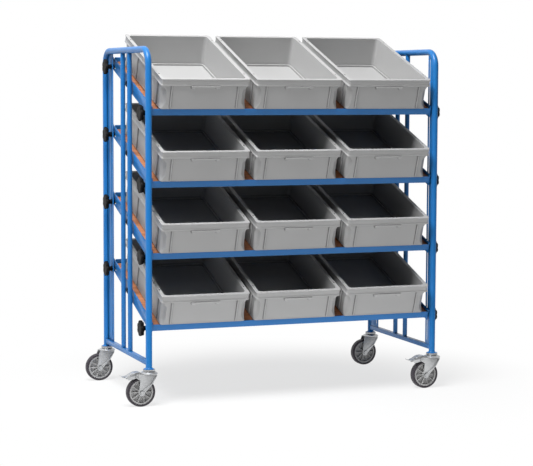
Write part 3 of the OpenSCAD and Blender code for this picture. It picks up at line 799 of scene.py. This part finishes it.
def push_along_x(rings):
    """Extrude what is selected along X, ring by ring, and scale each about the axis."""
    for step, growth in rings:
        bpy.ops.mesh.extrude_region_move(TRANSFORM_OT_translate={"value": (step, 0, 0)})
        bpy.ops.transform.resize(value=(1, growth, growth), center_override=(0, 0, 0))


def add_rod(points, radius, start, end):
    """In edit mode, add a cylinder along X."""
    bpy.ops.mesh.primitive_cylinder_add(
        vertices=points, radius=radius, depth=end - start,
        location=((start + end) / 2, 0, 0), rotation=(0, math.pi / 2, 0))


# %% [markdown]
# ## Star knobs
# A star knob is a rounded star of black plastic on a short boss, with a stud moulded in. It could
# be cut from a disc with round cutters, but pinching the disc in at seven hollows gives softer
# lobes. The rings then swell and shrink again, and a small Bevel rounds the edges that are left.

# %% A star knob
LOBES, POINTS_PER_LOBE = 7, 10
KNOB_R = 0.0350
PINCH_DEPTH, PINCH_POWER = 0.14, 1.6
KNOB_RINGS = (
    (0.0, 0.84), (0.0018, 1.14), (0.0043, 1.045), (0.0046, 1.0),
    (0.0032, 0.93), (0.0008, 0.85), (-0.0005, 0.62),
)
KNOB_ROUNDING = 0.0008
BOSS_R, BOSS_SUNK = 0.0105, 0.002
STUD_R, STUD_SUNK = 0.004, 0.001


def lobe_step(point):
    """Number of an edge point within its lobe, counted round the axis."""
    turns = math.atan2(point.z, point.y) / (2 * math.pi)
    return round(turns * LOBES * POINTS_PER_LOBE) % POINTS_PER_LOBE


def make_knob(stud, boss):
    """A knob along +X with its boss ending at the origin and its stud reaching back."""
    knob = add_disc(points=LOBES * POINTS_PER_LOBE, radius=KNOB_R, x=boss)
    for step in range(POINTS_PER_LOBE):
        wave = 0.5 - 0.5 * math.cos(2 * math.pi * step / POINTS_PER_LOBE)
        pinch = 1 - PINCH_DEPTH * wave ** PINCH_POWER
        choose(lambda middle, point: lobe_step(middle) == step, "VERT")
        bpy.ops.transform.resize(value=(1, pinch, pinch), center_override=(boss, 0, 0))
    bpy.ops.mesh.select_mode(type="FACE")
    bpy.ops.mesh.select_all(action="SELECT")
    push_along_x(KNOB_RINGS)
    tidy(knob)
    bpy.ops.object.mode_set(mode="EDIT")
    add_rod(points=24, radius=BOSS_R, start=0.0, end=boss + BOSS_SUNK)
    add_rod(points=20, radius=STUD_R, start=STUD_SUNK - stud, end=STUD_SUNK)
    bpy.ops.object.mode_set(mode="OBJECT")
    round_edges(knob, KNOB_ROUNDING, angle=50)
    tidy(knob, angle=40, recalculate=False)
    return knob


front_knob = make_knob(stud=0.0246, boss=0.0205)
rear_knob = make_knob(stud=0.0279, boss=0.0160)
print("knob:", len(front_knob.data.polygons), "faces")

# %% [markdown]
# ## Knobs in place
# Each shelf is clamped at its front and its rear on both sides. The knobs of one end turn
# together, so both ride on the same body. A half turn about Z makes a left knob of a right one.

# %% Place the knobs
# The knob of each end, how far from the cart's middle its boss ends, and the top shelf's clamp
KNOB_SEATS = {
    "front": (front_knob, 0.6693, -0.299762, 1.255196),
    "rear": (rear_knob, 0.6726, 0.260762, 1.454790),
}
for tier in TIERS:
    for end, (knob, x, y, top_z) in KNOB_SEATS.items():
        for side, sign, turn in SIDES:
            seat = (sign * x, y, top_z - tier_drop(tier))
            spot = Matrix.Translation(seat) @ Matrix.Rotation(turn, 4, "Z")
            place(knob, f"{end}_{side}_star_{tier}", spot, f"{end}_knob_{tier}", "knob_black",
                  [f"{end}_knobs_{tier}"])
discard(front_knob, rear_knob)
print("placed", len(TIERS) * len(KNOB_SEATS) * len(SIDES), "knobs")

# %% [markdown]
# ## Tyres
# A tyre is a closed outline turned about the axle. A torus would be too round, so the outline
# starts as a flat face. Its outer corners are bevelled into shoulders, and Spin carries it round in
# one full turn.

# %% A tyre
TRAIL, WHEEL_R = 0.038, 0.0625
TYRE_THICKNESS, TYRE_WIDTH, TYRE_MIDDLE_R = 0.0094, 0.032, 0.0578
TYRE_INNER_R = TYRE_MIDDLE_R - TYRE_THICKNESS / 2
TYRE_SHOULDER, TYRE_INNER_EDGE = 0.0052, 0.0012
TYRE_STEPS = 72


def make_tyre():
    """A tyre about the Y axis, with its axle at the origin."""
    start_clean()
    bpy.ops.mesh.primitive_plane_add(size=1)
    tyre = bpy.context.object
    edit_all()
    bpy.ops.transform.resize(value=(TYRE_THICKNESS, TYRE_WIDTH, 1), center_override=(0, 0, 0))
    bpy.ops.transform.translate(value=(TYRE_MIDDLE_R, 0, 0))
    choose(lambda middle, point: middle.x > TYRE_MIDDLE_R, "VERT")
    bpy.ops.mesh.bevel(offset=TYRE_SHOULDER, segments=5, affect="VERTICES")
    choose(lambda middle, point: abs(middle.x - TYRE_INNER_R) < TOLERANCE, "VERT")
    bpy.ops.mesh.bevel(offset=TYRE_INNER_EDGE, segments=2, affect="VERTICES")
    bpy.ops.mesh.select_all(action="SELECT")
    bpy.ops.mesh.delete(type="ONLY_FACE")
    bpy.ops.mesh.select_all(action="SELECT")
    bpy.ops.mesh.spin(steps=TYRE_STEPS, angle=2 * math.pi, center=(0, 0, 0), axis=(0, 1, 0))
    tidy(tyre, angle=40)
    return tyre


tyre = make_tyre()
for corner, (x, y) in CORNERS.items():
    spot = Matrix.Translation((x - TRAIL, y, WHEEL_R))
    place(tyre, f"{corner}_round_tyre", spot, f"{corner}_roller", "tyre", [f"{corner}_tyre"])
print("tyre:", len(tyre.data.polygons), "faces")
discard(tyre)

# %% [markdown]
# ## Soft edges for sheet metal, wood and mouldings
# Shelf frames, decks, plates, foot bars, forks, pedals and wheel centres have the right shape as
# solids, but no real sheet, board or moulding ends in a razor edge. Modelling them again would gain
# nothing. A copy of each solid is merged, its flat faces are joined by Limited Dissolve, and a
# Bevel rounds the edges so that they catch the light.

# %% Rounded copies of solids
SOLID_MERGE, NEARLY_FLAT = 2e-6, math.radians(0.4)


def soften(name, body, slot, width):
    """Hide a solid behind a copy with rounded edges, and return the copy's number of faces."""
    solid = nodes[name]
    piece = bpy.data.objects.new(f"soft_{name}", solid.data.copy())
    bpy.context.scene.collection.objects.link(piece)
    piece.matrix_world = solid.matrix_world.copy()
    activate(piece)
    bpy.ops.object.transform_apply(location=True, rotation=True, scale=True)
    edit_all()
    bpy.ops.mesh.remove_doubles(threshold=SOLID_MERGE)
    bpy.ops.mesh.dissolve_limited(angle_limit=NEARLY_FLAT)
    bpy.ops.object.mode_set(mode="OBJECT")
    round_edges(piece, width, angle=35)
    tidy(piece, angle=38, recalculate=False)
    dress(piece, body, slot, [name])
    return len(piece.data.polygons)


faces = 0
for tier in TIERS:
    faces += soften(f"shelf_frame_{tier}", f"shelf_{tier}", "frame_blue", width=0.0007)
    faces += soften(f"shelf_deck_{tier}", f"shelf_{tier}", "deck_wood", width=0.0010)
for side, _, _ in SIDES:
    faces += soften(f"{side}_slot_plates", "end_frames", "frame_blue", width=0.0006)
    faces += soften(f"{side}_foot_bar", "end_frames", "frame_blue", width=0.0014)
for corner in CORNERS:
    faces += soften(f"{corner}_fork", f"{corner}_castor", "zinc", width=0.0005)
    faces += soften(f"{corner}_wheel", f"{corner}_roller", "wheel_grey", width=0.0007)
for corner in ("front_left", "front_right"):
    faces += soften(f"{corner}_pedal", f"{corner}_brake", "zinc", width=0.0005)
print("rounded copies:", faces, "faces")

# %% [markdown]
# ## Plugs
# The brace tube under each deck runs through the side rails, and its open ends are closed with
# black plastic plugs. A half sphere would stand out too far. So each is a disc that is pushed into
# a shank, a wider rim and a slightly domed face.

# %% Plugs in the brace ends
PLUG_SHANK_R, PLUG_DEPTH = 0.0102, 0.006
PLUG_RINGS = ((0.0061, 1.0), (0.0, 1.21), (0.0012, 1.0), (0.0007, 0.90), (0.0004, 0.62))
BRACE_END_X, BRACE_UP_SLOPE, BRACE_HEIGHT = 0.6581, 0.394, -0.0225


def make_plug():
    """A plug along +X with its rim near the origin and its shank reaching back."""
    plug = add_disc(points=32, radius=PLUG_SHANK_R, x=-PLUG_DEPTH)
    push_along_x(PLUG_RINGS)
    tidy(plug, angle=40)
    return plug


plug = make_plug()
for tier in TIERS:
    for side, sign, turn in SIDES:
        offset = Matrix.Translation((sign * BRACE_END_X, BRACE_UP_SLOPE, BRACE_HEIGHT))
        spot = shelf_place(tier) @ offset @ Matrix.Rotation(turn, 4, "Z")
        place(plug, f"{side}_brace_plug_{tier}", spot, f"shelf_{tier}", "knob_black")
print("plugs:", len(TIERS) * len(SIDES), "of", len(plug.data.polygons), "faces")
discard(plug)

# %% [markdown]
# ## Light from the floor
# The photograph was taken in a white studio, where a lit floor throws light up. A lamp under the
# floor would be hidden by it, so the floor's own material is a pale paint that glows a little near
# the cart. The Light Path node keeps the glow from the camera.

# %% Light from the floor
FLOOR_PAINT = (0.84, 0.84, 0.84, 1)
# Distances from the cart's middle, and the glow at each
GLOW_SPAN, GLOW_LEVEL = (1.0, 3.2), (0.50, 0.0)


def pale_floor(tree, rays, distance):
    """Diffuse paint, with a glow near the cart that the camera doesn't see."""
    paint = node(tree, "ShaderNodeBsdfDiffuse")
    paint.inputs["Color"].default_value = FLOOR_PAINT
    near = map_range(tree, GLOW_SPAN, GLOW_LEVEL, interpolation_type="SMOOTHSTEP")
    unseen = node(tree, "ShaderNodeMath", operation="SUBTRACT")
    unseen.inputs[0].default_value = 1.0
    bounce = node(tree, "ShaderNodeMath", operation="MULTIPLY")
    glow = node(tree, "ShaderNodeEmission")
    both = node(tree, "ShaderNodeAddShader")
    tree.links.new(distance, near.inputs["Value"])
    tree.links.new(rays.outputs["Is Camera Ray"], unseen.inputs[1])
    tree.links.new(near.outputs["Result"], bounce.inputs[0])
    tree.links.new(unseen.outputs["Value"], bounce.inputs[1])
    tree.links.new(bounce.outputs["Value"], glow.inputs["Strength"])
    tree.links.new(paint.outputs["BSDF"], both.inputs[0])
    tree.links.new(glow.outputs["Emission"], both.inputs[1])
    return both.outputs["Shader"]


# %% [markdown]
# ## White of the floor
# In the photograph the floor fades to white and keeps a faint shadow under the cart. More light
# would bleach the cart too. So the camera and reflections see a share of plain white instead, which
# grows with distance.

# %% White of the floor
# Distances from the cart's middle, and the share of white at each
WHITE_SPAN, WHITE_SHARE = (0.5, 1.5), (0.72, 1.0)


def white_share(tree, rays, distance):
    """How much plain white the camera and reflections see."""
    fade = map_range(tree, WHITE_SPAN, WHITE_SHARE, interpolation_type="SMOOTHSTEP")
    seen = node(tree, "ShaderNodeMath", operation="MAXIMUM")
    share = node(tree, "ShaderNodeMath", operation="MULTIPLY")
    tree.links.new(distance, fade.inputs["Value"])
    tree.links.new(rays.outputs["Is Camera Ray"], seen.inputs[0])
    tree.links.new(rays.outputs["Is Glossy Ray"], seen.inputs[1])
    tree.links.new(seen.outputs["Value"], share.inputs[0])
    tree.links.new(fade.outputs["Result"], share.inputs[1])
    return share.outputs["Value"]


# %% [markdown]
# ## Floor
# The floor is one large plane that mixes the two. It could be a bent sheet that rises into a
# backdrop, but the world in the next cell stands in for that.

# %% Floor
FLOOR_SIZE = 60
WHITE = (1, 1, 1, 1)


def floor_finish():
    """Pale floor and plain white, mixed by the share of white."""
    material = bpy.data.materials.new("studio_floor")
    material.use_nodes = True
    tree = material.node_tree
    tree.nodes.remove(tree.nodes["Principled BSDF"])
    rays = node(tree, "ShaderNodeLightPath")
    coords = node(tree, "ShaderNodeTexCoord")
    length = node(tree, "ShaderNodeVectorMath", operation="LENGTH")
    tree.links.new(coords.outputs["Object"], length.inputs[0])
    distance = length.outputs["Value"]
    plain = node(tree, "ShaderNodeEmission")
    plain.inputs["Color"].default_value = WHITE
    mix = node(tree, "ShaderNodeMixShader")
    tree.links.new(white_share(tree, rays, distance), mix.inputs["Fac"])
    tree.links.new(pale_floor(tree, rays, distance), mix.inputs[1])
    tree.links.new(plain.outputs["Emission"], mix.inputs[2])
    tree.links.new(mix.outputs["Shader"], tree.nodes["Material Output"].inputs["Surface"])
    return material


start_clean()
bpy.ops.mesh.primitive_plane_add(size=FLOOR_SIZE)
floor = bpy.context.object
floor.name = "floor"
floor.data.materials.append(floor_finish())
print("floor:", floor.dimensions.x, "m wide")

# %% [markdown]
# ## World
# Behind the floor stands a white backdrop. The camera sees it as plain white. As light it is dim at
# the horizon and a little brighter overhead, so that the lamps shape the cart. Reflections also
# see a pale backdrop behind the cart, which metal and paint would show in a real studio.

# %% World
HORIZON_LIGHT, OVERHEAD_LIGHT, BACKDROP = 0.04, 0.18, 0.95
BACKDROP_SPAN = (-0.1, 0.5)


def make_world():
    """White for the camera, dim as a light, and a pale backdrop behind the cart in reflections."""
    world = bpy.data.worlds.new("studio")
    bpy.context.scene.world = world
    world.use_nodes = True
    tree = world.node_tree
    sky = tree.nodes["Background"]
    sky.inputs["Color"].default_value = WHITE
    coords = node(tree, "ShaderNodeTexCoord")
    parts = node(tree, "ShaderNodeSeparateXYZ")
    rise = map_range(tree, (0.0, 1.0), (HORIZON_LIGHT, OVERHEAD_LIGHT))
    behind = map_range(tree, BACKDROP_SPAN, (0.0, BACKDROP))
    shine = node(tree, "ShaderNodeMath", operation="MULTIPLY_ADD")
    rays = node(tree, "ShaderNodeLightPath")
    level = node(tree, "ShaderNodeMix", data_type="FLOAT")
    level.inputs["B"].default_value = 1.0
    tree.links.new(coords.outputs["Generated"], parts.inputs["Vector"])
    tree.links.new(parts.outputs["Z"], rise.inputs["Value"])
    tree.links.new(parts.outputs["Y"], behind.inputs["Value"])
    tree.links.new(rays.outputs["Is Glossy Ray"], shine.inputs[0])
    tree.links.new(behind.outputs["Result"], shine.inputs[1])
    tree.links.new(rise.outputs["Result"], shine.inputs[2])
    tree.links.new(shine.outputs["Value"], level.inputs["A"])
    tree.links.new(rays.outputs["Is Camera Ray"], level.inputs["Factor"])
    tree.links.new(level.outputs["Result"], sky.inputs["Strength"])
    return world


print("world:", make_world().name)

# %% [markdown]
# ## Lamps
# In the photograph the tops and the left sides are bright and the insides of the lower bins are
# dark. So one large softbox stands above, to the left and in front, and a weak one far out on the
# left lifts the ends of the cart. A light from the front would flatten the bins.

# %% Lamps
def add_lamp(name, stand, target, size, power):
    """A square softbox that looks at a target."""
    lamp = bpy.data.lights.new(name, "AREA")
    lamp.shape = "SQUARE"
    lamp.size = size
    lamp.energy = power
    made = bpy.data.objects.new(name, lamp)
    bpy.context.scene.collection.objects.link(made)
    made.location = stand
    made.rotation_euler = (Vector(target) - Vector(stand)).to_track_quat("-Z", "Y").to_euler()


add_lamp("key_softbox", stand=(-1.65, -1.5, 4.6), target=(0, 0, 1.0), size=2.2, power=300)
add_lamp("left_softbox", stand=(-4.4, 0.6, 2.0), target=(0, 0, 0.9), size=2.5, power=18)

# %% [markdown]
# ## Camera
# The camera was fitted to corners and edges of the photograph by least squares. It stands well to
# the left, at about the height of the top bins, and looks down by five degrees. The long lens keeps
# the posts upright to within a pixel or two, so no lens shift is needed.

# %% Camera
SENSOR_MM, LENS_MM = 36.0, 114.16
CAMERA_PLACE = (-2.7363, -7.2268, 1.3865)
# In radians
CAMERA_YAW, CAMERA_PITCH, CAMERA_ROLL = -0.3610, -0.0889, 0.0040

lens = bpy.data.cameras.new("photo_camera")
lens.sensor_width = SENSOR_MM
lens.lens = LENS_MM
camera = bpy.data.objects.new("photo_camera", lens)
bpy.context.scene.collection.objects.link(camera)
aim = Matrix.Rotation(CAMERA_YAW, 4, "Z") @ Matrix.Rotation(math.pi / 2 + CAMERA_PITCH, 4, "X")
camera.matrix_world = Matrix.Translation(CAMERA_PLACE) @ aim @ Matrix.Rotation(CAMERA_ROLL, 4, "Z")
bpy.context.scene.camera = camera
bpy.context.scene.view_settings.view_transform = "Standard"
print("camera at", [round(c, 3) for c in camera.matrix_world.translation])
